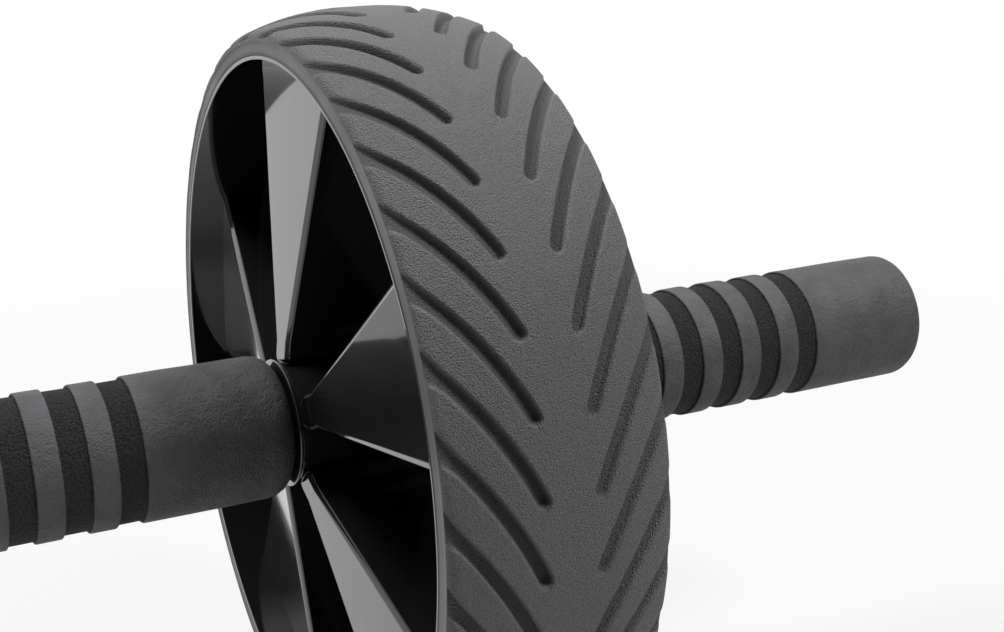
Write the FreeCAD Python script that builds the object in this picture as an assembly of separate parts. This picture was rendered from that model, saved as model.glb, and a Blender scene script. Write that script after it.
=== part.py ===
"""Ab wheel roller: a wide grooved wheel that turns on a steel axle between two foam-covered handles.

Millimetres. The origin is the wheel's centre, the axle lies along Y and Z is up.
Each piece is drawn for the right-hand side (positive Y), and left-hand pieces are its mirror image.
"""
import FreeCAD, Part
import math
import os

V = FreeCAD.Vector
CENTRE = V(0, 0, 0)
AXLE = V(0, 1, 0)

# Tyre: crowned tread, rounded shoulders and a smooth side band, set in a little, above the rim lip
wheel_radius = 95.0
tyre_width = 49.2
tread_flat_width = 6.0
crown_angle = 22.0
shoulder_radius = 2.5
tyre_side_height = 3.25
tyre_side_inset = 0.5

# Tread grooves: curved slots, round at the inner end and shallower where they run out over the shoulder
groove_count = 37
groove_first_angle = 35.5
groove_width = 2.7
groove_depth = 1.6
groove_shoulder_depth = 1.05
groove_inner_end = 4.9
groove_run_out = 1.6
groove_lead = 29.0
groove_bow = 1.2

# Wheel shells: two mouldings that meet on the wheel's middle plane
rim_lip_thickness = 0.9
rim_lip_proud = 0.3
rim_wall_draft = 4.0
pocket_floor = 4.0
floor_thickness = 2.5
pocket_corner_radius = 1.5
boss_radius = 14.2
boss_edge_radius = 0.6
hub_width = 52.8
hub_tube_radius = 13.0

# Spokes: flat-faced wedges with a blunt nose at the boss, stepped once along their foot and hollow behind
spoke_count = 5
spoke_first_angle = 24.7
spoke_flare_angle = 17.9
spoke_nose_width = 7.0
spoke_nose_corner_radius = 1.5
spoke_nose_overlap = 0.5
spoke_neck_end = 19.5
spoke_face_at_boss = 25.8
spoke_face_at_rim = 15.4
spoke_step_height = 1.9
spoke_step_width = 1.1
spoke_wall = 2.4

# Bearings and axle
journal_radius = 7.0
running_clearance = 0.05
bush_wall = 2.0
bush_length = 20.0
bush_flange_radius = 12.0
bush_flange_thickness = 2.0
bush_proud = 0.2
washer_gap = 0.1
thrust_washer_radius = 15.2
thrust_washer_thickness = 0.8
thrust_washer_edge_radius = 0.35
axle_end_radius = 6.0

# Handles
overall_length = 304.0
grip_radius = 17.0
grip_gap = 0.3
grip_hub_end_radius = 5.8
grip_outer_end_radius = 2.2
core_radius = 11.0
band_count = 5
band_width = 6.0
band_pitch = 11.9
band_depth = 0.7
first_band_start = 62.8

# Handle ends: screw, washers and plug inside the core's counterbore
counterbore_radius = 9.5
counterbore_depth = 18.0
clamp_gap = 0.4
flat_washer_radius = 9.0
flat_washer_thickness = 1.6
lock_washer_radius = 5.4
lock_washer_thickness = 1.6
lock_washer_slit = 1.2
screw_radius = 3.0
screw_length = 18.0
screw_hole_spare = 3.0
screw_head_radius = 5.2
screw_head_height = 4.0
screw_socket_sides = 6
screw_socket_radius = 2.6
screw_socket_depth = 2.4
screw_clearance = 0.2
plug_spigot_length = 8.0
plug_head_thickness = 3.0
plug_recess = 1.0
plug_edge_radius = 1.0
fit_clearance = 0.03

# Sizes worked out from the ones above
tyre_half = tyre_width / 2
tread_flat_half = tread_flat_width / 2
crown_sine = math.sin(math.radians(crown_angle))
crown_cosine = math.cos(math.radians(crown_angle))
shoulder_start = tyre_half - shoulder_radius * (1 - crown_sine)
crown_radius = (shoulder_start - tread_flat_half) / crown_sine
crown_centre_radius = wheel_radius - crown_radius
shoulder_centre_radius = crown_centre_radius + (crown_radius - shoulder_radius) * crown_cosine
shoulder_centre_place = tyre_half - shoulder_radius
groove_outer_end = tyre_half + groove_run_out
groove_floor_top = wheel_radius - groove_depth
groove_floor_fall = crown_radius * (1 - crown_cosine) + groove_shoulder_depth - groove_depth
groove_floor_span = shoulder_start - tread_flat_half
groove_floor_radius = (groove_floor_span ** 2 + groove_floor_fall ** 2) / (2 * groove_floor_fall)
side_band_place = tyre_half - tyre_side_inset
rim_radius = shoulder_centre_radius - tyre_side_height
rim_lip_place = tyre_half + rim_lip_proud
rim_lip_radius = rim_radius - rim_lip_thickness
pocket_radius = rim_lip_radius - (rim_lip_place - pocket_floor) * math.tan(math.radians(rim_wall_draft))
floor_back = pocket_floor - floor_thickness
boss_place = hub_width / 2
spoke_flare = math.radians(spoke_flare_angle)
spoke_fall = (spoke_face_at_boss - spoke_face_at_rim) / (pocket_radius - boss_radius)
bush_bore_radius = journal_radius + running_clearance
bush_radius = bush_bore_radius + bush_wall
bush_seat = boss_place + bush_proud - bush_flange_thickness
thrust_washer_start = boss_place + bush_proud + washer_gap
handle_start = thrust_washer_start + thrust_washer_thickness
handle_end = overall_length / 2
grip_start = handle_start + grip_gap
plug_face = handle_end - plug_recess
core_end = plug_face - plug_head_thickness
screw_seat = core_end - counterbore_depth
axle_end_bore_radius = axle_end_radius + fit_clearance
axle_end = screw_seat - clamp_gap
lock_washer_start = screw_seat + flat_washer_thickness
screw_head_start = lock_washer_start + lock_washer_thickness
screw_hole_depth = screw_length - (screw_head_start - axle_end) + screw_hole_spare


def turned(shape, angle):
    """A copy of a shape drawn along +X, turned about the axle towards +Z."""
    copy = shape.copy()
    copy.rotate(CENTRE, AXLE, -angle)
    return copy


def mirrored(shape):
    """The left-hand twin of a right-hand piece."""
    return shape.mirror(CENTRE, AXLE)


def revolved(edges):
    """A ring from a closed outline of edges in the half-plane of radius (X) and place along the axle (Y)."""
    return Part.Face(Part.Wire(edges)).revolve(CENTRE, AXLE, 360)


def rounded_outline(corners):
    """Edges of a closed outline from (radius, place, corner radius) rows, with round corners as arcs."""
    points = [V(row[0], row[1], 0) for row in corners]
    ends = []
    for i, row in enumerate(corners):
        here = points[i]
        back = (points[i - 1] - here).normalize()
        ahead = (points[(i + 1) % len(points)] - here).normalize()
        half_turn = back.getAngle(ahead) / 2
        if row[2] == 0:
            ends.append((here, None, here))
            continue
        reach = row[2] / math.tan(half_turn)
        middle = (back + ahead).normalize() * (row[2] / math.sin(half_turn) - row[2])
        ends.append((here + back * reach, here + middle, here + ahead * reach))
    edges = []
    for i, (start, middle, end) in enumerate(ends):
        if middle is not None:
            edges.append(Part.Arc(start, middle, end).toShape())
        following = ends[(i + 1) % len(ends)][0]
        edges.append(Part.LineSegment(end, following).toShape())
    return edges


def turned_piece(corners):
    """A ring or rod from its rounded outline."""
    return revolved(rounded_outline(corners))


def ring_from_half(flat_end, edges, bore_end):
    """A ring from the right-hand half of its outline, which runs from the tread's flat to the bore."""
    mirror_edges = [edge.mirror(CENTRE, AXLE) for edge in edges]
    flat = Part.LineSegment(V(flat_end.x, -flat_end.y, 0), flat_end).toShape()
    bore = Part.LineSegment(bore_end, V(bore_end.x, -bore_end.y, 0)).toShape()
    return revolved([flat] + edges + [bore] + mirror_edges[::-1])


def crown_points(top, radius, slope):
    """Start, middle and end of a crown's arc that falls from its top radius at the flat's edge to a slope."""
    slopes = (0, slope / 2, slope)
    return [V(top - radius * (1 - math.cos(turn)), tread_flat_half + radius * math.sin(turn), 0)
            for turn in slopes]


def tyre_ring():
    """The whole tyre without grooves."""
    flat_end, crown_middle, crown_end = crown_points(wheel_radius, crown_radius, math.radians(crown_angle))
    turn_middle = math.radians((crown_angle + 90) / 2)
    shoulder_middle = V(shoulder_centre_radius + shoulder_radius * math.cos(turn_middle),
                        shoulder_centre_place + shoulder_radius * math.sin(turn_middle), 0)
    side = V(shoulder_centre_radius, tyre_half, 0)
    band_start = V(shoulder_centre_radius - tyre_side_inset, side_band_place, 0)
    bore_end = V(rim_radius, side_band_place, 0)
    edges = [
        Part.Arc(flat_end, crown_middle, crown_end).toShape(),
        Part.Arc(crown_end, shoulder_middle, side).toShape(),
        Part.LineSegment(side, band_start).toShape(),
        Part.LineSegment(band_start, bore_end).toShape(),
    ]
    return ring_from_half(flat_end, edges, bore_end)


def groove_floor_ring():
    """What the grooves leave standing: a lower, flatter crown that runs on past the tyre's sides."""
    slope = math.asin((groove_outer_end - tread_flat_half) / groove_floor_radius)
    flat_end, crown_middle, crown_end = crown_points(groove_floor_top, groove_floor_radius, slope)
    bore_end = V(rim_radius, groove_outer_end, 0)
    edges = [
        Part.Arc(flat_end, crown_middle, crown_end).toShape(),
        Part.LineSegment(crown_end, bore_end).toShape(),
    ]
    return ring_from_half(flat_end, edges, bore_end)


def groove_cutter():
    """One curved slot on the right flank, drawn on a plane square to the radius through its middle."""
    half_width = groove_width / 2
    start = V(rim_radius, groove_inner_end + half_width, -groove_lead / 2)
    end = V(rim_radius, groove_outer_end - half_width, groove_lead / 2)
    along = (end - start).normalize()
    across = along.cross(V(1, 0, 0))
    if across.y > 0:
        across = -across
    middle = (start + end) / 2 + across * groove_bow
    outer = Part.Arc(start + across * half_width, middle + across * half_width, end + across * half_width)
    inner = Part.Arc(end - across * half_width, middle - across * half_width, start - across * half_width)
    outer_end = Part.Arc(end + across * half_width, end + along * half_width, end - across * half_width)
    inner_end = Part.Arc(start - across * half_width, start - along * half_width, start + across * half_width)
    outline = Part.Wire([outer.toShape(), outer_end.toShape(), inner.toShape(), inner_end.toShape()])
    return Part.Face(outline).extrude(V(wheel_radius - rim_radius + groove_depth, 0, 0))


def make_tyre():
    cutter = groove_cutter().cut(groove_floor_ring())
    pitch = 360 / groove_count
    lead_angle = math.degrees(math.asin(groove_lead / 2 / wheel_radius))
    cutters = []
    for i in range(groove_count):
        right_cutter = turned(cutter, groove_first_angle + lead_angle + i * pitch)
        cutters.append(right_cutter)
        cutters.append(mirrored(right_cutter))
    return tyre_ring().cut(cutters)


def spoke_half(growth):
    """(radial, across, corner radius) rows of half a spoke's outline, grown by a distance: nose, neck and flare."""
    half_width = spoke_nose_width / 2 + growth
    neck_end = spoke_neck_end - growth * math.tan(spoke_flare / 2)
    return [
        (boss_radius - spoke_nose_overlap - growth, half_width, spoke_nose_corner_radius + growth),
        (neck_end, half_width, 0),
        (wheel_radius, half_width + (wheel_radius - neck_end) * math.tan(spoke_flare), 0),
    ]


def spoke_hollow_half():
    """Rows of half the hollow's outline, a wall's thickness inside the flare."""
    half_width = spoke_nose_width / 2 - spoke_wall / math.cos(spoke_flare)
    return [
        (radial, half_width + (radial - spoke_neck_end) * math.tan(spoke_flare), 0)
        for radial in (spoke_neck_end + spoke_wall, wheel_radius)
    ]


def spoke_block(half, lowering, end_radius, foot):
    """A wedge with a given half outline, from its foot up to the sloping face and out to a radius."""
    corners = half + [(radial, -across, rounding) for radial, across, rounding in half[::-1]]
    outline = Part.Face(Part.Wire(rounded_outline(corners)))
    outline.rotate(CENTRE, V(1, 0, 0), 90)
    outline.translate(V(0, foot, 0))
    block = outline.extrude(V(0, boss_place - foot, 0))
    block = block.common(Part.makeCylinder(end_radius, boss_place, CENTRE, AXLE))
    face_inside = spoke_face_at_boss + boss_radius * spoke_fall - lowering
    face_outside = face_inside - wheel_radius * spoke_fall
    above = Part.makePolygon([
        V(0, face_inside, -wheel_radius), V(wheel_radius, face_outside, -wheel_radius),
        V(wheel_radius, tyre_width, -wheel_radius), V(0, tyre_width, -wheel_radius),
        V(0, face_inside, -wheel_radius),
    ])
    return block.cut(Part.Face(above).extrude(V(0, 0, 2 * wheel_radius)))


def make_shell():
    body = turned_piece([
        (bush_radius, 0, 0),
        (hub_tube_radius, 0, 0),
        (hub_tube_radius, floor_back, 0),
        (pocket_radius, floor_back, 0),
        (pocket_radius, 0, 0),
        (rim_radius, 0, 0),
        (rim_radius, rim_lip_place, 0),
        (rim_lip_radius, rim_lip_place, 0),
        (pocket_radius, pocket_floor, pocket_corner_radius),
        (boss_radius, pocket_floor, pocket_corner_radius),
        (boss_radius, boss_place, boss_edge_radius),
        (bush_flange_radius, boss_place, 0),
        (bush_flange_radius, bush_seat, 0),
        (bush_radius, bush_seat, 0),
    ])
    spoke_end = (rim_radius + pocket_radius) / 2
    spoke_foot = (pocket_floor + floor_back) / 2
    spoke = spoke_block(spoke_half(0), 0, spoke_end, spoke_foot)
    step = spoke_block(spoke_half(spoke_step_width), spoke_step_height, spoke_end, spoke_foot)
    hollow = spoke_block(spoke_hollow_half(), spoke_wall, pocket_radius - spoke_wall, 0)
    angles = [spoke_first_angle + i * 360 / spoke_count for i in range(spoke_count)]
    wedge = spoke.fuse(step)
    body = body.fuse([turned(wedge, angle) for angle in angles])
    body = body.cut([turned(hollow, angle) for angle in angles])
    return body.removeSplitter()


def make_hub_bush():
    flange_face = bush_seat + bush_flange_thickness
    return turned_piece([
        (bush_bore_radius, flange_face - bush_length, 0),
        (bush_radius, flange_face - bush_length, 0),
        (bush_radius, bush_seat, 0),
        (bush_flange_radius, bush_seat, 0),
        (bush_flange_radius, flange_face, 0),
        (bush_bore_radius, flange_face, 0),
    ])


def make_axle():
    hole_end = axle_end - screw_hole_depth
    return turned_piece([
        (0, -hole_end, 0),
        (screw_radius, -hole_end, 0),
        (screw_radius, -axle_end, 0),
        (axle_end_radius, -axle_end, 0),
        (axle_end_radius, -handle_start, 0),
        (journal_radius, -handle_start, 0),
        (journal_radius, handle_start, 0),
        (axle_end_radius, handle_start, 0),
        (axle_end_radius, axle_end, 0),
        (screw_radius, axle_end, 0),
        (screw_radius, hole_end, 0),
        (0, hole_end, 0),
    ])


def make_thrust_washer():
    return turned_piece([
        (bush_bore_radius, thrust_washer_start, 0),
        (thrust_washer_radius, thrust_washer_start, thrust_washer_edge_radius),
        (thrust_washer_radius, handle_start, thrust_washer_edge_radius),
        (bush_bore_radius, handle_start, 0),
    ])


def make_handle_core():
    return turned_piece([
        (axle_end_bore_radius, handle_start, 0),
        (core_radius, handle_start, 0),
        (core_radius, core_end, 0),
        (counterbore_radius, core_end, 0),
        (counterbore_radius, screw_seat, 0),
        (axle_end_bore_radius, screw_seat, 0),
    ])


def make_grip():
    bore = core_radius + fit_clearance
    corners = [(bore, grip_start, 0), (grip_radius, grip_start, grip_hub_end_radius)]
    for i in range(band_count):
        start = first_band_start + i * band_pitch
        corners.append((grip_radius, start, 0))
        corners.append((grip_radius - band_depth, start, 0))
        corners.append((grip_radius - band_depth, start + band_width, 0))
        corners.append((grip_radius, start + band_width, 0))
    corners += [(grip_radius, handle_end, grip_outer_end_radius), (bore, handle_end, 0)]
    return turned_piece(corners)


def make_flat_washer():
    return turned_piece([
        (screw_radius + screw_clearance, screw_seat, 0),
        (flat_washer_radius, screw_seat, 0),
        (flat_washer_radius, lock_washer_start, 0),
        (screw_radius + screw_clearance, lock_washer_start, 0),
    ])


def make_lock_washer():
    ring = turned_piece([
        (screw_radius + screw_clearance, lock_washer_start, 0),
        (lock_washer_radius, lock_washer_start, 0),
        (lock_washer_radius, screw_head_start, 0),
        (screw_radius + screw_clearance, screw_head_start, 0),
    ])
    slit = Part.makeBox(lock_washer_radius * 2, screw_head_start, lock_washer_slit)
    slit.translate(V(0, 0, -lock_washer_slit / 2))
    return ring.cut(slit)


def make_end_screw():
    head_end = screw_head_start + screw_head_height
    screw = turned_piece([
        (0, screw_head_start - screw_length, 0),
        (screw_radius - fit_clearance, screw_head_start - screw_length, 0),
        (screw_radius - fit_clearance, screw_head_start, 0),
        (screw_head_radius, screw_head_start, 0),
        (screw_head_radius, head_end, 0),
        (0, head_end, 0),
    ])
    corners = []
    for i in range(screw_socket_sides + 1):
        turn = math.radians(i * 360 / screw_socket_sides)
        corners.append(V(screw_socket_radius * math.cos(turn), head_end - screw_socket_depth,
                         screw_socket_radius * math.sin(turn)))
    socket = Part.Face(Part.makePolygon(corners)).extrude(V(0, screw_socket_depth, 0))
    return screw.cut(socket)


def make_end_plug():
    spigot = counterbore_radius - fit_clearance
    return turned_piece([
        (0, core_end - plug_spigot_length, 0),
        (spigot, core_end - plug_spigot_length, plug_edge_radius),
        (spigot, core_end, 0),
        (core_radius, core_end, 0),
        (core_radius, plug_face, plug_edge_radius),
        (0, plug_face, 0),
    ])


def make_parts():
    parts = {"tyre": make_tyre(), "axle_rod": make_axle()}
    right_pieces = {
        "wheel_shell": make_shell(),
        "hub_bush": make_hub_bush(),
        "thrust_washer": make_thrust_washer(),
        "handle_core": make_handle_core(),
        "grip": make_grip(),
        "flat_washer": make_flat_washer(),
        "lock_washer": make_lock_washer(),
        "end_screw": make_end_screw(),
        "end_plug": make_end_plug(),
    }
    for name, shape in right_pieces.items():
        parts[name + "_right"] = shape
        parts[name + "_left"] = mirrored(shape)
    return parts


os.makedirs("parts", exist_ok=True)
for name, shape in make_parts().items():
    shape.exportStep("parts/" + name + ".step")
    print(name, "solids", len(shape.Solids), "valid", shape.isValid(), "volume", round(shape.Volume))
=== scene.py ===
"""Looks of the ab wheel roller: grooved rubber tyre, gloss black shells and foam grips on a steel axle.

Metres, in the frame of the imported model: the origin is the wheel's centre, the axle lies along Y, Z is up.
Paired pieces are modelled for the right-hand side (positive Y), and the left-hand ones mirror them.
"""

import math

import bmesh
import bpy
from mathutils import Matrix, Quaternion, Vector, noise


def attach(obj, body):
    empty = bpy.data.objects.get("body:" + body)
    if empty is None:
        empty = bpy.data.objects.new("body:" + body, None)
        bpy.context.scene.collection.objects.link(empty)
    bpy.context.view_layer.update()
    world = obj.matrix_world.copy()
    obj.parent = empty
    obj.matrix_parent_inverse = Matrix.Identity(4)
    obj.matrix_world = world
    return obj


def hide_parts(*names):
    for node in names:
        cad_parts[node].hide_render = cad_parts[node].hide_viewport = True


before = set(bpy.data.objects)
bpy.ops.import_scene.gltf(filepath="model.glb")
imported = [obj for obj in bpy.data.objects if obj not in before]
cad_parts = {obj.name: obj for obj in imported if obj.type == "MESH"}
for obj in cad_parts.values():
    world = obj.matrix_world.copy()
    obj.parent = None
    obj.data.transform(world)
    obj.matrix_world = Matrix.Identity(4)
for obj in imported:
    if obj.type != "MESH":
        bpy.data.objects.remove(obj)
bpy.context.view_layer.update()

MM = 0.001
CENTRE = Vector((0, 0, 0))
AXLE = Vector((0, 1, 0))
FULL_TURN = 2 * math.pi
SIDES = {"right": 1, "left": -1}

# Tyre section
wheel_radius = 95.0 * MM
tyre_half = 24.6 * MM
tread_flat_half = 3.0 * MM
crown_angle = math.radians(22)
shoulder_radius = 2.5 * MM
tyre_side_height = 3.25 * MM
tyre_side_inset = 0.1 * MM
side_slope = math.radians(75)
shoulder_start = tyre_half - shoulder_radius * (1 - math.sin(crown_angle))
crown_radius = (shoulder_start - tread_flat_half) / math.sin(crown_angle)
crown_centre_radius = wheel_radius - crown_radius
shoulder_centre = Vector((
    crown_centre_radius + (crown_radius - shoulder_radius) * math.cos(crown_angle),
    tyre_half - shoulder_radius,
))
side_start_radius = shoulder_centre.x + shoulder_radius * math.cos(side_slope)
rim_radius = shoulder_centre.x - tyre_side_height

# Tread grooves
groove_count = 37
groove_first_angle = math.radians(35.5)
groove_half_width = 1.35 * MM
groove_depth = 1.9 * MM
groove_shoulder_depth = 1.3 * MM
groove_wall = 0.85 * MM
groove_wall_lean_share = 0.3
groove_floor_lean_share = 0.25
groove_flare = 0.8 * MM
groove_flare_start = 21.0 * MM
groove_inner_end = 4.9 * MM
groove_run_out = 1.6 * MM
groove_outer_end = tyre_half + groove_run_out
groove_lead = 29.0 * MM
groove_bow = 1.2 * MM
groove_run_on = 2.0 * MM
groove_attribute = "groove"
groove_start = Vector((groove_inner_end + groove_half_width, -groove_lead / 2))
groove_finish = Vector((groove_outer_end - groove_half_width, groove_lead / 2))
groove_floor_top = wheel_radius - groove_depth
groove_floor_fall = crown_radius * (1 - math.cos(crown_angle)) + groove_shoulder_depth - groove_depth
groove_floor_span = shoulder_start - tread_flat_half
groove_floor_radius = (groove_floor_span ** 2 + groove_floor_fall ** 2) / (2 * groove_floor_fall)
# Columns of the tread mesh as shares of half a pitch, close together at the groove's edge
column_shares = (0.11, 0.19, 0.225, 0.26, 0.295, 0.33, 0.365, 0.41, 0.48, 0.57, 0.76)
pitch_shares = [-share for share in column_shares[::-1]] + [0, *column_shares, 1]
# Rows of the tread mesh over half the width: from, to, steps
tread_rows = (
    (0.0 * MM, 4.0 * MM, 2),
    (4.0 * MM, 7.6 * MM, 18),
    (7.6 * MM, 20.0 * MM, 9),
    (20.0 * MM, shoulder_start, 5),
)
shoulder_rows = 8
side_rows = 3

# Wheel shells
rim_lip_proud = 0.05 * MM
rim_lip_width = 0.9 * MM
rim_lip_place = tyre_half + rim_lip_proud
rim_lip_radius = rim_radius - rim_lip_width
rim_wall_draft = math.radians(4)
pocket_floor = 4.0 * MM
floor_thickness = 2.5 * MM
floor_back = pocket_floor - floor_thickness
pocket_radius = rim_lip_radius - (rim_lip_place - pocket_floor) * math.tan(rim_wall_draft)
pocket_corner_radius = 1.5 * MM
lip_edge_radius = 0.25 * MM
boss_radius = 14.2 * MM
boss_edge_radius = 0.15 * MM
boss_place = 26.4 * MM
hub_tube_radius = 13.0 * MM
bush_radius = 9.05 * MM
bush_flange_radius = 12.0 * MM
bush_seat = 24.6 * MM

# Spokes: the face, the chamfer round it and the chamfer's outer edge
spoke_count = 5
spoke_first_angle = math.radians(24.7)
spoke_flare = math.radians(17.9)
spoke_nose_gap = 0.5 * MM
spoke_nose_half = 3.2 * MM
spoke_nose_corner = 1.4 * MM
spoke_neck_end = 19.5 * MM
spoke_end = (rim_radius + pocket_radius) / 2
spoke_rim_half = spoke_nose_half + (spoke_end - spoke_neck_end) * math.tan(spoke_flare)
spoke_face_at_boss = 25.8 * MM
spoke_face_at_rim = 15.4 * MM
spoke_fall = (spoke_face_at_boss - spoke_face_at_rim) / (pocket_radius - boss_radius)
spoke_foot = (pocket_floor + floor_back) / 2
chamfer_height = 0.8 * MM
chamfer_nose_width = 0.9 * MM
chamfer_rim_width = 1.9 * MM
edge_front = boss_radius + spoke_nose_gap - chamfer_nose_width
edge_half = spoke_nose_half + chamfer_nose_width
edge_corner = spoke_nose_corner + chamfer_nose_width
edge_neck_end = spoke_neck_end - chamfer_nose_width * math.tan(spoke_flare / 2)
edge_rim_half = spoke_rim_half + chamfer_rim_width
spoke_rounding = 0.3 * MM
spoke_rounding_segments = 3

# Thrust washers
washer_radius = 15.2 * MM
washer_bore_radius = 7.05 * MM
washer_start = 26.7 * MM
washer_thickness = 0.8 * MM
washer_edge_radius = 0.38 * MM

# Grips
grip_radius = 17.0 * MM
grip_start = 27.8 * MM
grip_end = 152.0 * MM
grip_hub_end_radius = 5.8 * MM
grip_outer_end_radius = 2.2 * MM
grip_bore_radius = 11.03 * MM
grip_bore_share = 1.1
grip_outside_radius = grip_bore_radius * grip_bore_share
band_count = 5
band_first = 62.8 * MM
band_width = 6.0 * MM
band_pitch = 11.9 * MM
band_depth = 0.7 * MM
band_edge_radius = 0.35 * MM
grip_row_spacing = 1.2 * MM
grip_unevenness = 0.12 * MM
grip_uneven_scale = 90.0

# Mesh fineness
wheel_steps = 9
wheel_sectors = 20
grip_steps = 8
grip_sectors = 16
corner_segments = 5
merge_distance = 0.001 * MM
sharp_angle = math.radians(32)


# Shaping helpers

def held(value, low, high):
    """A number kept between two limits."""
    return min(max(value, low), high)


def rounded_corners(bm, corners, radius):
    """Rounds some corners of a flat face."""
    bmesh.ops.bevel(bm, geom=corners, offset=radius, offset_type="OFFSET", affect="VERTICES",
                    segments=corner_segments, profile=0.5, material=-1)


def spun(corners, steps, sectors, row_spacing=None):
    """A bmesh ring from a closed outline of (radius, place, corner radius) rows."""
    bm = bmesh.new()
    verts = [bm.verts.new((radius, place, 0)) for radius, place, _ in corners]
    bm.faces.new(verts)
    for vert, (_, _, rounding) in zip(verts, corners):
        if rounding:
            rounded_corners(bm, [vert], rounding)
    bmesh.ops.delete(bm, geom=list(bm.faces), context="FACES_ONLY")
    if row_spacing:
        for edge in list(bm.edges):
            cuts = int(edge.calc_length() / row_spacing)
            if cuts:
                bmesh.ops.subdivide_edges(bm, edges=[edge], cuts=cuts)
    spin_outline(bm, steps, sectors)
    return bm


def spin_outline(bm, steps, sectors):
    """Turns the outline in a bmesh once about the axle, as one sector of steps and then copies of it."""
    bmesh.ops.spin(bm, geom=list(bm.verts) + list(bm.edges), cent=CENTRE, axis=AXLE, dvec=(0, 0, 0),
                   angle=FULL_TURN / sectors, steps=steps, use_merge=False, use_duplicate=False)
    repeat_round(bm, sectors)
    bmesh.ops.remove_doubles(bm, verts=bm.verts, dist=merge_distance)
    bmesh.ops.recalc_face_normals(bm, faces=bm.faces)


def repeat_round(bm, count):
    """Copies all of a bmesh about the axle, evenly spaced, until there are count of it."""
    bmesh.ops.spin(bm, geom=list(bm.verts) + list(bm.edges) + list(bm.faces), cent=CENTRE, axis=AXLE,
                   dvec=(0, 0, 0), angle=FULL_TURN / count * (count - 1), steps=count - 1, use_merge=False,
                   use_duplicate=True)


def put_on_side(bm, sign):
    """Leaves a right-hand piece where it is, or mirrors it to the left."""
    if sign < 0:
        bmesh.ops.transform(bm, matrix=Matrix.Scale(-1, 4, AXLE), verts=bm.verts)
        bmesh.ops.recalc_face_normals(bm, faces=bm.faces)


def object_from(name, bm):
    """The bmesh as a linked object."""
    mesh = bpy.data.meshes.new(name)
    bm.to_mesh(mesh)
    bm.free()
    made = bpy.data.objects.new(name, mesh)
    bpy.context.scene.collection.objects.link(made)
    return made


def finished_piece(piece, materials, body, slot, *nodes):
    """Smooths an object, gives it its materials, rides it on a body and lets it stand for CAD nodes."""
    piece.data.shade_smooth()
    for material in materials:
        piece.data.materials.append(material)
    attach(piece, body)
    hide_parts(*nodes)


def crisp(piece):
    """Keeps flat faces flat beside their rounded edges."""
    piece.data.set_sharp_from_angle(angle=sharp_angle)
    weighted = piece.modifiers.new("flat_faces", "WEIGHTED_NORMAL")
    weighted.keep_sharp = True


# Tyre

def tyre_rows():
    """(radius, place) of each mesh row, from the left inner edge over the tread to the right inner edge."""
    half = []
    for first, last, steps in tread_rows:
        for i in range(steps):
            place = first + (last - first) * i / steps
            slope = math.asin(max(0, place - tread_flat_half) / crown_radius)
            half.append((crown_centre_radius + crown_radius * math.cos(slope), place))
    for i in range(shoulder_rows + 1):
        slope = crown_angle + (math.pi / 2 - crown_angle) * i / shoulder_rows
        half.append((shoulder_centre.x + shoulder_radius * math.cos(slope),
                     shoulder_centre.y + shoulder_radius * math.sin(slope)))
    band_height = tyre_side_height - tyre_side_inset
    for i in range(side_rows + 1):
        half.append((rim_radius + band_height * (1 - i / side_rows), tyre_half - tyre_side_inset))
    return [(radius, -place) for radius, place in half[:0:-1]] + half


def groove_arc():
    """Centre and radius of the groove's centre line, drawn on the plane that touches the tyre."""
    chord = groove_finish - groove_start
    reach = (chord.length ** 2 / 4 + groove_bow ** 2) / (2 * groove_bow)
    across = Vector((-chord.y, chord.x)).normalized()
    centre = (groove_start + groove_finish) / 2 - across * (reach - groove_bow)
    return centre, reach


groove_centre, groove_reach = groove_arc()
groove_first_turn = math.atan2(*(groove_start - groove_centre).yx)


def groove_line(place):
    """How far round the tread the centre line lies at a place along the axle."""
    near = held(place, groove_start.x - groove_run_on, groove_finish.x + groove_run_on)
    return groove_centre.y + math.sqrt(groove_reach ** 2 - (near - groove_centre.x) ** 2)


def groove_share(place, along):
    """About 1 on a groove's floor, 0 on the land and between them on its walls, on the touching plane.

    The wall on the side of the tread's middle is steeper, and the floor is deeper beside it.
    """
    out_y, out_z = place - groove_centre.x, along - groove_centre.y
    across = math.hypot(out_y, out_z) - groove_reach
    away = abs(across)
    if math.atan2(out_z, out_y) > groove_first_turn:
        away = math.hypot(place - groove_start.x, along - groove_start.y)
    flare = max(0, place - groove_flare_start) / (tyre_half - groove_flare_start)
    edge = groove_half_width + groove_flare * flare ** 2
    lean = held(across / edge, -1, 1)
    wall = groove_wall * (1 - groove_wall_lean_share * lean)
    share = held((edge + wall / 2 - away) / wall, 0, 1)
    return share * share * (3 - 2 * share) * (1 + groove_floor_lean_share * lean)


def groove_floor(place):
    """Radius of the grooves' floor, a lower and flatter crown."""
    slope = math.asin(max(0, place - tread_flat_half) / groove_floor_radius)
    return groove_floor_top - groove_floor_radius * (1 - math.cos(slope))


def press_grooves(bm, rows, row_layer, groove_layer):
    """Slants the columns of a plainly turned tyre along the grooves and presses the grooves in."""
    columns = len(pitch_shares)
    steps = groove_count * columns
    pitch = FULL_TURN / groove_count
    first_angle = groove_first_angle + math.asin(groove_lead / 2 / wheel_radius)
    lines = [groove_line(abs(place)) for _, place in rows]
    floors = [groove_floor(abs(place)) for _, place in rows]
    for vert in bm.verts:
        row = vert[row_layer]
        radius, place = rows[row]
        step = round(math.atan2(vert.co.z, vert.co.x) / FULL_TURN * steps) % steps
        groove, column = divmod(step, columns)
        offset = pitch_shares[column] * pitch / 2 * radius
        angle = first_angle + groove * pitch + math.asin(lines[row] / radius) + offset / radius
        if abs(place) > tread_flat_half and floors[row] < radius:
            vert[groove_layer] = groove_share(abs(place), lines[row] + offset)
            radius += (floors[row] - radius) * vert[groove_layer]
        vert.co = (radius * math.cos(angle), place, radius * math.sin(angle))


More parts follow.
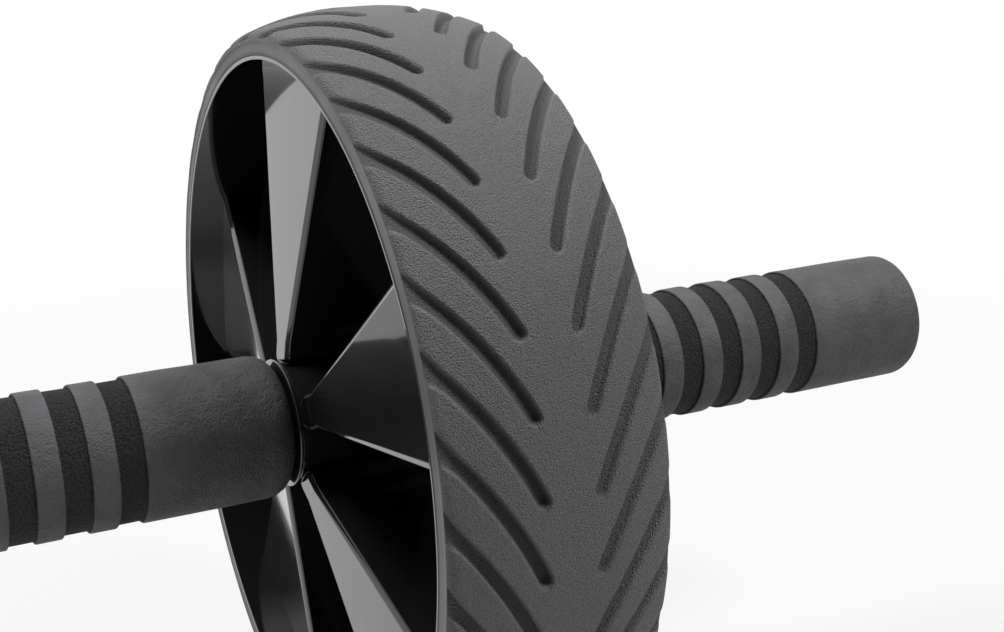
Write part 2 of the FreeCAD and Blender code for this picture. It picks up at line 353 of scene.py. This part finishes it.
def make_tyre(tread, side_band):
    """The tyre, with smoother rubber on its side bands and a layer that says how deep in a groove it is."""
    rows = tyre_rows()
    bm = bmesh.new()
    row_layer = bm.verts.layers.int.new("row")
    groove_layer = bm.verts.layers.float.new(groove_attribute)
    verts = [bm.verts.new((radius, place, 0)) for radius, place in rows]
    for i, vert in enumerate(verts):
        vert[row_layer] = i
        bm.edges.new((vert, verts[i - 1]))
    spin_outline(bm, len(pitch_shares), groove_count)
    for face in bm.faces:
        outer = max(math.hypot(vert.co.x, vert.co.z) for vert in face.verts)
        face.material_index = int(outer < side_start_radius)
    press_grooves(bm, rows, row_layer, groove_layer)
    bmesh.ops.recalc_face_normals(bm, faces=bm.faces)
    tyre = object_from("grooved_tyre", bm)
    finished_piece(tyre, [tread, side_band], "wheel", "tyre_rubber", "tyre")


# Wheel shells

def spoke_foot_face(bm):
    """A spoke's foot as one face, as wide as the chamfer's outer edge and with a blunt, rounded nose."""
    half = [(edge_front, edge_half), (edge_neck_end, edge_half), (spoke_end, edge_rim_half)]
    corners = half + [(radial, -across) for radial, across in half[::-1]]
    verts = [bm.verts.new((radial, spoke_foot, across)) for radial, across in corners]
    bm.faces.new(verts)
    rounded_corners(bm, [verts[0], verts[-1]], edge_corner)
    return next(iter(bm.faces))


def raised_face(bm, face):
    """Extrudes a face, which stays, and gives the new face with its edges."""
    made = bmesh.ops.extrude_face_region(bm, geom=[face])["geom"]
    edges = [item for item in made if isinstance(item, bmesh.types.BMEdge)]
    return next(item for item in made if isinstance(item, bmesh.types.BMFace)), edges


def spoke_level(radial):
    """Place along the axle of a spoke's sloping face, by the distance from the axle."""
    return spoke_face_at_boss - (radial - boss_radius) * spoke_fall


def draw_in(vert):
    """Moves a corner of the chamfer's outer edge across the chamfer to the spoke's face."""
    along = (vert.co.x - edge_front) / (spoke_end - edge_front)
    width = chamfer_nose_width + (chamfer_rim_width - chamfer_nose_width) * along
    inward = held((edge_front + edge_corner - vert.co.x) / edge_corner, 0, 1)
    sideways = held((abs(vert.co.z) - edge_half + edge_corner) / edge_corner, 0, 1)
    vert.co.x += width * inward
    vert.co.z -= math.copysign(width * sideways, vert.co.z)
    vert.co.y = spoke_level(vert.co.x)


def spoke_wedges():
    """A bmesh of all the spokes: sloping wedges with a chamfer that widens towards the rim."""
    bm = bmesh.new()
    ledge, ledge_edges = raised_face(bm, spoke_foot_face(bm))
    for vert in ledge.verts:
        vert.co.y = spoke_level(vert.co.x) - chamfer_height
    top, top_edges = raised_face(bm, ledge)
    bmesh.ops.delete(bm, geom=[ledge], context="FACES_ONLY")
    for vert in top.verts:
        draw_in(vert)
    bmesh.ops.bevel(bm, geom=ledge_edges + top_edges, offset=spoke_rounding, offset_type="OFFSET",
                    affect="EDGES", segments=spoke_rounding_segments, profile=0.5, material=-1,
                    clamp_overlap=True)
    bmesh.ops.rotate(bm, cent=CENTRE, matrix=Matrix.Rotation(-spoke_first_angle, 3, AXLE), verts=bm.verts)
    repeat_round(bm, spoke_count)
    bmesh.ops.recalc_face_normals(bm, faces=bm.faces)
    return bm


def join_to(piece, added):
    """Unites a piece with another object, which is then removed."""
    union = piece.modifiers.new("union", "BOOLEAN")
    union.operation = "UNION"
    union.solver = "EXACT"
    union.object = added
    whole = bpy.data.meshes.new_from_object(piece.evaluated_get(bpy.context.evaluated_depsgraph_get()))
    piece.modifiers.clear()
    piece.data = whole
    bpy.data.objects.remove(added)


def make_wheel_shell(side, sign, gloss_black):
    """One half of the wheel: rim, pocket floor and hub tube in one ring, joined to the spokes."""
    ring = spun([
        (bush_radius, 0, 0),
        (hub_tube_radius, 0, 0),
        (hub_tube_radius, floor_back, 0),
        (pocket_radius, floor_back, 0),
        (pocket_radius, 0, 0),
        (rim_radius, 0, 0),
        (rim_radius, rim_lip_place, lip_edge_radius),
        (rim_lip_radius, rim_lip_place, lip_edge_radius),
        (pocket_radius, pocket_floor, pocket_corner_radius),
        (boss_radius, pocket_floor, pocket_corner_radius),
        (boss_radius, boss_place, boss_edge_radius),
        (bush_flange_radius, boss_place, lip_edge_radius),
        (bush_flange_radius, bush_seat, 0),
        (bush_radius, bush_seat, 0),
    ], wheel_steps, wheel_sectors)
    put_on_side(ring, sign)
    shell = object_from("spoked_shell_" + side, ring)
    spokes = spoke_wedges()
    put_on_side(spokes, sign)
    join_to(shell, object_from("spokes", spokes))
    finished_piece(shell, [gloss_black], "wheel", "wheel_black", "wheel_shell_" + side)
    crisp(shell)


def make_thrust_washer(side, sign, gloss_black):
    """The thin washer between the hub boss and the grip."""
    bm = spun([
        (washer_bore_radius, washer_start, 0),
        (washer_radius, washer_start, washer_edge_radius),
        (washer_radius, washer_start + washer_thickness, washer_edge_radius),
        (washer_bore_radius, washer_start + washer_thickness, 0),
    ], grip_steps, grip_sectors)
    put_on_side(bm, sign)
    washer = object_from("hub_washer_" + side, bm)
    finished_piece(washer, [gloss_black], "handle_bar", "wheel_black", "thrust_washer_" + side)
    crisp(washer)


# Grips

def grip_corners():
    """The grip's outline as (radius, place, corner radius) rows, with its sunken bands."""
    corners = [(grip_bore_radius, grip_start, 0), (grip_radius, grip_start, grip_hub_end_radius)]
    for i in range(band_count):
        start = band_first + i * band_pitch
        corners += [
            (grip_radius, start, band_edge_radius),
            (grip_radius - band_depth, start, band_edge_radius),
            (grip_radius - band_depth, start + band_width, band_edge_radius),
            (grip_radius, start + band_width, band_edge_radius),
        ]
    return corners + [(grip_radius, grip_end, grip_outer_end_radius), (grip_bore_radius, grip_end, 0)]


def make_grip(side, sign, skin, cut_foam):
    """A foam grip, a little uneven, with cut foam at the bottom of its bands."""
    bm = spun(grip_corners(), grip_steps, grip_sectors, grip_row_spacing)
    band_line = grip_radius - band_depth / 2
    for face in bm.faces:
        centre = face.calc_center_median()
        in_bands = band_first < centre.y < band_first + band_pitch * band_count
        if in_bands and grip_outside_radius < math.hypot(centre.x, centre.z) < band_line:
            face.material_index = 1
    for vert in bm.verts:
        radial = Vector((vert.co.x, 0, vert.co.z))
        if radial.length > grip_outside_radius:
            swell = noise.noise(vert.co * grip_uneven_scale + AXLE * sign) * grip_unevenness
            vert.co += radial.normalized() * (swell - grip_unevenness)
    put_on_side(bm, sign)
    grip = object_from("foam_grip_" + side, bm)
    finished_piece(grip, [skin, cut_foam], "handle_bar", "grip_foam", "grip_" + side)
    grip.data.set_sharp_from_angle(angle=sharp_angle)


# Tones and relief of the finishes
tread_pale = (0.152, 0.152, 0.156)
tread_dark = (0.108, 0.108, 0.11)
tread_crease_height = 0.18 * MM
tread_grain_depth = 0.32 * MM
# Painted light on the tread by its depth in a groove, as (depth share, level): a painted highlight along the
# groove's edge, and painted shade that deepens to the floor
groove_painted_light_levels = ((0.04, 0.8), (0.15, 1.0), (0.35, 0.85), (0.9, 0.48))
side_band_dark = (0.115, 0.115, 0.118)
side_band_pale = (0.13, 0.13, 0.133)
side_band_relief = 0.06 * MM
moulded_black = (0.008, 0.008, 0.0085)
moulded_ripple = 0.3 * MM
skin_dark = (0.055, 0.055, 0.058)
skin_pale = (0.085, 0.085, 0.089)
skin_pore_depth = 0.2 * MM
skin_crease_height = 0.6 * MM
foam_pale = (0.022, 0.022, 0.023)
foam_dark = (0.007, 0.007, 0.008)
foam_crumb_height = 0.2 * MM
foam_pore_depth = 0.4 * MM
plain_relief = 0.05 * MM


# Materials

def new_material(name):
    """A material with its Principled shader and the object's coordinates."""
    material = bpy.data.materials.new(name)
    material.use_nodes = True
    nodes = material.node_tree.nodes
    place = nodes.new("ShaderNodeTexCoord").outputs["Object"]
    return material, nodes["Principled BSDF"], place


def node_of(shader, kind, **inputs):
    """A new node beside a shader, with its inputs set or linked."""
    tree = shader.id_data
    made = tree.nodes.new(kind)
    for name, value in inputs.items():
        socket = made.inputs[name.replace("_", " ")]
        if isinstance(value, bpy.types.NodeSocket):
            tree.links.new(value, socket)
        else:
            socket.default_value = value
    return made


def maths_node(shader, kind, operation, *sources):
    """A new node beside a shader that works on its sources, which feed its inputs in turn."""
    made = node_of(shader, kind)
    made.operation = operation
    for socket, source in zip(made.inputs, sources):
        shader.id_data.links.new(source, socket)
    return made


def colour_between(shader, factor, low, high, first, last):
    """A colour that goes from first to last as a factor goes from low to high."""
    made = node_of(shader, "ShaderNodeValToRGB", Fac=factor)
    for stop, place, colour in zip(made.color_ramp.elements, (low, high), (first, last)):
        stop.position = place
        stop.color = (*colour, 1)
    return made.outputs["Color"]


def value_between(shader, factor, low, high, first, last):
    """A number that goes from first to last as a factor goes from low to high."""
    made = node_of(shader, "ShaderNodeMapRange", Value=factor, From_Min=low, From_Max=high,
                   To_Min=first, To_Max=last)
    return made.outputs["Result"]


def bump(shader, height, strength, distance, under=None):
    """A bump from a height, over another bump if given."""
    made = node_of(shader, "ShaderNodeBump", Height=height, Strength=strength, Distance=distance)
    if under:
        shader.id_data.links.new(under, made.inputs["Normal"])
    return made.outputs["Normal"]


def fine_noise(shader, place, scale, detail=3.0):
    """Soft noise, with its scale in waves to the metre."""
    return node_of(shader, "ShaderNodeTexNoise", Vector=place, Scale=scale, Detail=detail).outputs["Fac"]


def cells(shader, place, scale):
    """Small cells, with their scale in cells to the metre."""
    return node_of(shader, "ShaderNodeTexVoronoi", Vector=place, Scale=scale).outputs["Distance"]


def wire(shader, socket, source):
    """Feeds an input of a shader."""
    shader.id_data.links.new(source, shader.inputs[socket])


def painted_groove_light(shader):
    """Painted light on the tread by its depth in a groove: a painted highlight at the edge, and painted
    shade that is darkest on the floor.
    """
    sunk = node_of(shader, "ShaderNodeAttribute")
    sunk.attribute_name = groove_attribute
    first, *between, last = groove_painted_light_levels
    shade = node_of(shader, "ShaderNodeValToRGB", Fac=sunk.outputs["Fac"])
    stops = shade.color_ramp.elements
    for stop, (depth, level) in zip(stops, (first, last)):
        stop.position = depth
        stop.color = (level, level, level, 1)
    for depth, level in between:
        stops.new(depth).color = (level, level, level, 1)
    return shade.outputs["Color"]


def tread_rubber():
    """Matt rubber with a fine grain, with painted shade in the grooves and a painted highlight along their
    edges.
    """
    material, shader, place = new_material("tread_rubber")
    grain = cells(shader, place, scale=3000.0)
    crease = fine_noise(shader, place, scale=3200.0, detail=2.0)
    land = colour_between(shader, grain, low=0.2, high=0.85, first=tread_pale, last=tread_dark)
    # The grain's colour times painted shade in the grooves and a painted highlight at their edges
    shaded = maths_node(shader, "ShaderNodeVectorMath", "MULTIPLY", land, painted_groove_light(shader))
    wire(shader, "Base Color", shaded.outputs["Vector"])
    wire(shader, "Roughness", value_between(shader, grain, low=0.0, high=0.8, first=0.45, last=0.65))
    fine = bump(shader, crease, strength=0.6, distance=tread_crease_height)
    wire(shader, "Normal", bump(shader, grain, strength=1.0, distance=-tread_grain_depth, under=fine))
    return material


def side_rubber():
    """The smoother rubber of the tyre's side band."""
    material, shader, place = new_material("side_rubber")
    cloud = fine_noise(shader, place, scale=60.0)
    grain = fine_noise(shader, place, scale=1500.0)
    mottled = colour_between(shader, cloud, low=0.3, high=0.7, first=side_band_dark, last=side_band_pale)
    wire(shader, "Base Color", mottled)
    wire(shader, "Roughness", value_between(shader, cloud, low=0.3, high=0.7, first=0.55, last=0.45))
    wire(shader, "Normal", bump(shader, grain, strength=0.2, distance=side_band_relief))
    return material


def gloss_black_plastic():
    """Polished black moulding with faint handling marks."""
    material, shader, place = new_material("gloss_black_plastic")
    haze = fine_noise(shader, place, scale=60.0)
    ripple = fine_noise(shader, place, scale=45.0, detail=1.0)
    shader.inputs["Base Color"].default_value = (*moulded_black, 1)
    shader.inputs["Coat Weight"].default_value = 0.85
    shader.inputs["Coat Roughness"].default_value = 0.05
    wire(shader, "Roughness", value_between(shader, haze, low=0.3, high=0.7, first=0.07, last=0.13))
    wire(shader, "Normal", bump(shader, ripple, strength=0.12, distance=moulded_ripple))
    return material


def grip_skin():
    """Grey foam with a closed skin, finely pitted and creased."""
    material, shader, place = new_material("grip_skin")
    cloud = fine_noise(shader, place, scale=120.0)
    crease = fine_noise(shader, place, scale=480.0, detail=6.0)
    pores = cells(shader, place, scale=2000.0)
    mottled = colour_between(shader, cloud, low=0.3, high=0.75, first=skin_dark, last=skin_pale)
    wire(shader, "Base Color", mottled)
    wire(shader, "Roughness", value_between(shader, pores, low=0.1, high=0.7, first=0.6, last=0.75))
    fine = bump(shader, pores, strength=0.8, distance=-skin_pore_depth)
    wire(shader, "Normal", bump(shader, crease, strength=0.7, distance=skin_crease_height, under=fine))
    return material


def cut_foam():
    """Dark open-celled foam where the skin is cut away."""
    material, shader, place = new_material("cut_foam")
    pores = cells(shader, place, scale=1700.0)
    crumbs = fine_noise(shader, place, scale=2400.0)
    pitted = colour_between(shader, pores, low=0.1, high=0.7, first=foam_pale, last=foam_dark)
    wire(shader, "Base Color", pitted)
    shader.inputs["Roughness"].default_value = 0.9
    fine = bump(shader, crumbs, strength=0.6, distance=foam_crumb_height)
    wire(shader, "Normal", bump(shader, pores, strength=1.0, distance=-foam_pore_depth, under=fine))
    return material


def plain_finish(name, dark, light, metallic, rough, smooth, scale):
    """A moulded or turned surface whose tone and gloss vary a little."""
    material, shader, place = new_material(name)
    cloud = fine_noise(shader, place, scale)
    wire(shader, "Base Color", colour_between(shader, cloud, low=0.3, high=0.7, first=dark, last=light))
    shader.inputs["Metallic"].default_value = metallic
    wire(shader, "Roughness", value_between(shader, cloud, low=0.3, high=0.7, first=rough, last=smooth))
    wire(shader, "Normal", bump(shader, cloud, strength=0.1, distance=plain_relief))
    return material


def finish_cad_nodes():
    """Materials for the pieces that stay as they are in the frame."""
    steel = plain_finish("turned_steel", dark=(0.42, 0.42, 0.43), light=(0.55, 0.55, 0.56),
                         metallic=1.0, rough=0.35, smooth=0.22, scale=300.0)
    zinc = plain_finish("zinc_plate", dark=(0.5, 0.5, 0.48), light=(0.62, 0.62, 0.6),
                        metallic=1.0, rough=0.42, smooth=0.3, scale=250.0)
    nylon = plain_finish("white_nylon", dark=(0.68, 0.67, 0.63), light=(0.76, 0.75, 0.72),
                         metallic=0.0, rough=0.5, smooth=0.4, scale=200.0)
    core = plain_finish("core_plastic", dark=(0.014, 0.014, 0.015), light=(0.022, 0.022, 0.023),
                        metallic=0.0, rough=0.6, smooth=0.45, scale=400.0)
    finishes = {
        "axle_rod": steel,
        "hub_bush": nylon,
        "handle_core": core,
        "end_plug": core,
        "flat_washer": zinc,
        "lock_washer": zinc,
        "end_screw": zinc,
    }
    for node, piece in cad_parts.items():
        stem = node.replace("_right", "").replace("_left", "")
        if stem in finishes:
            piece.data.materials.clear()
            piece.data.materials.append(finishes[stem])


# Studio
camera_place = Vector((0.33388, -0.13082, 0.12589))
camera_aim = Vector((-0.01138, 0.03717, 0.01374))
camera_roll = math.radians(1.34)
camera_lens = 55.747
softbox_size = 0.25
top_softbox_place = Vector((-0.15, -0.18, 0.6))
top_softbox_power = 5
front_softbox_place = Vector((0.45, 0.35, 0.75))
front_softbox_power = 6.2
ambient_strength = 0.1
floor_reach = 6.0
floor_tone = (0.6, 0.6, 0.6)
# The floor's whiteness near the wheel, where the shadow shows, and the distances over which it becomes full
floor_lift = 0.82
shadow_reach = 0.15
white_floor_reach = 0.6
# Along X, where gloss stops seeing a white surround, where it sees a dark one, and how white that one is
gloss_white_end = -0.1
gloss_dark_start = 0.15
gloss_dark_level = 0.06


def seen_white(shader, along):
    """How white the surround is to a ray.

    To the camera and through glass it is full. In gloss it falls off towards the front.
    """
    path = node_of(shader, "ShaderNodeLightPath").outputs
    split = node_of(shader, "ShaderNodeSeparateXYZ", Vector=along)
    fall = value_between(shader, split.outputs["X"], low=gloss_white_end, high=gloss_dark_start,
                         first=1.0, last=gloss_dark_level)
    seen = maths_node(shader, "ShaderNodeMath", "MULTIPLY", path["Is Glossy Ray"], fall)
    for ray in ("Is Camera Ray", "Is Transmission Ray"):
        seen = maths_node(shader, "ShaderNodeMath", "MAXIMUM", seen.outputs["Value"], path[ray])
    return seen.outputs["Value"]


def make_floor():
    """A pale floor that reads as white and keeps a soft shadow."""
    bm = bmesh.new()
    bmesh.ops.create_grid(bm, x_segments=1, y_segments=1, size=floor_reach)
    bmesh.ops.translate(bm, vec=(0, 0, -wheel_radius), verts=bm.verts)
    floor = object_from("studio_floor", bm)
    material, shader, place = new_material("studio_floor")
    shader.inputs["Base Color"].default_value = (*floor_tone, 1)
    shader.inputs["Roughness"].default_value = 0.9
    tree = material.node_tree
    glow = node_of(shader, "ShaderNodeEmission", Strength=1.0)
    reach = maths_node(shader, "ShaderNodeVectorMath", "LENGTH", place).outputs["Value"]
    lift = value_between(shader, reach, low=shadow_reach, high=white_floor_reach, first=floor_lift, last=1.0)
    share = maths_node(shader, "ShaderNodeMath", "MULTIPLY", seen_white(shader, place), lift)
    mixed = node_of(shader, "ShaderNodeMixShader")
    sources = (share.outputs["Value"], shader.outputs["BSDF"], glow.outputs["Emission"])
    for socket, source in zip(mixed.inputs, sources):
        tree.links.new(source, socket)
    tree.links.new(mixed.outputs["Shader"], tree.nodes["Material Output"].inputs["Surface"])
    floor.data.materials.append(material)


def make_world():
    """A surround that is white to the camera and lights the object at a plain level."""
    world = bpy.data.worlds.new("studio")
    world.use_nodes = True
    back = world.node_tree.nodes["Background"]
    back.inputs["Color"].default_value = (1, 1, 1, 1)
    outward = node_of(back, "ShaderNodeTexCoord").outputs["Generated"]
    seen = seen_white(back, outward)
    wire(back, "Strength", value_between(back, seen, low=0, high=1, first=ambient_strength, last=1.0))
    bpy.context.scene.world = world


def add_softbox(name, place, power, shows_in_gloss):
    """A square lamp that points at the wheel's centre."""
    light = bpy.data.lights.new(name, "AREA")
    light.size = softbox_size
    light.energy = power
    lamp = bpy.data.objects.new(name, light)
    lamp.location = place
    lamp.rotation_euler = (-place).to_track_quat("-Z", "Y").to_euler()
    lamp.visible_camera = False
    lamp.visible_glossy = shows_in_gloss
    bpy.context.scene.collection.objects.link(lamp)


def make_camera():
    """The camera, where the photograph was taken from."""
    lens = bpy.data.cameras.new("camera")
    lens.lens = camera_lens
    camera = bpy.data.objects.new("camera", lens)
    camera.location = camera_place
    level = (camera_aim - camera_place).to_track_quat("-Z", "Y")
    camera.rotation_euler = (level @ Quaternion((0, 0, 1), -camera_roll)).to_euler()
    bpy.context.scene.collection.objects.link(camera)
    bpy.context.scene.camera = camera


def make_studio():
    """Floor, surround, lamps and camera."""
    make_floor()
    make_world()
    add_softbox("top_softbox", top_softbox_place, top_softbox_power, shows_in_gloss=False)
    add_softbox("front_softbox", front_softbox_place, front_softbox_power, shows_in_gloss=True)
    make_camera()
    bpy.context.scene.view_settings.view_transform = "Standard"


make_tyre(tread_rubber(), side_rubber())
black = gloss_black_plastic()
skin = grip_skin()
foam = cut_foam()
for side, sign in SIDES.items():
    make_wheel_shell(side, sign, black)
    make_thrust_washer(side, sign, black)
    make_grip(side, sign, skin, foam)
finish_cad_nodes()
make_studio()
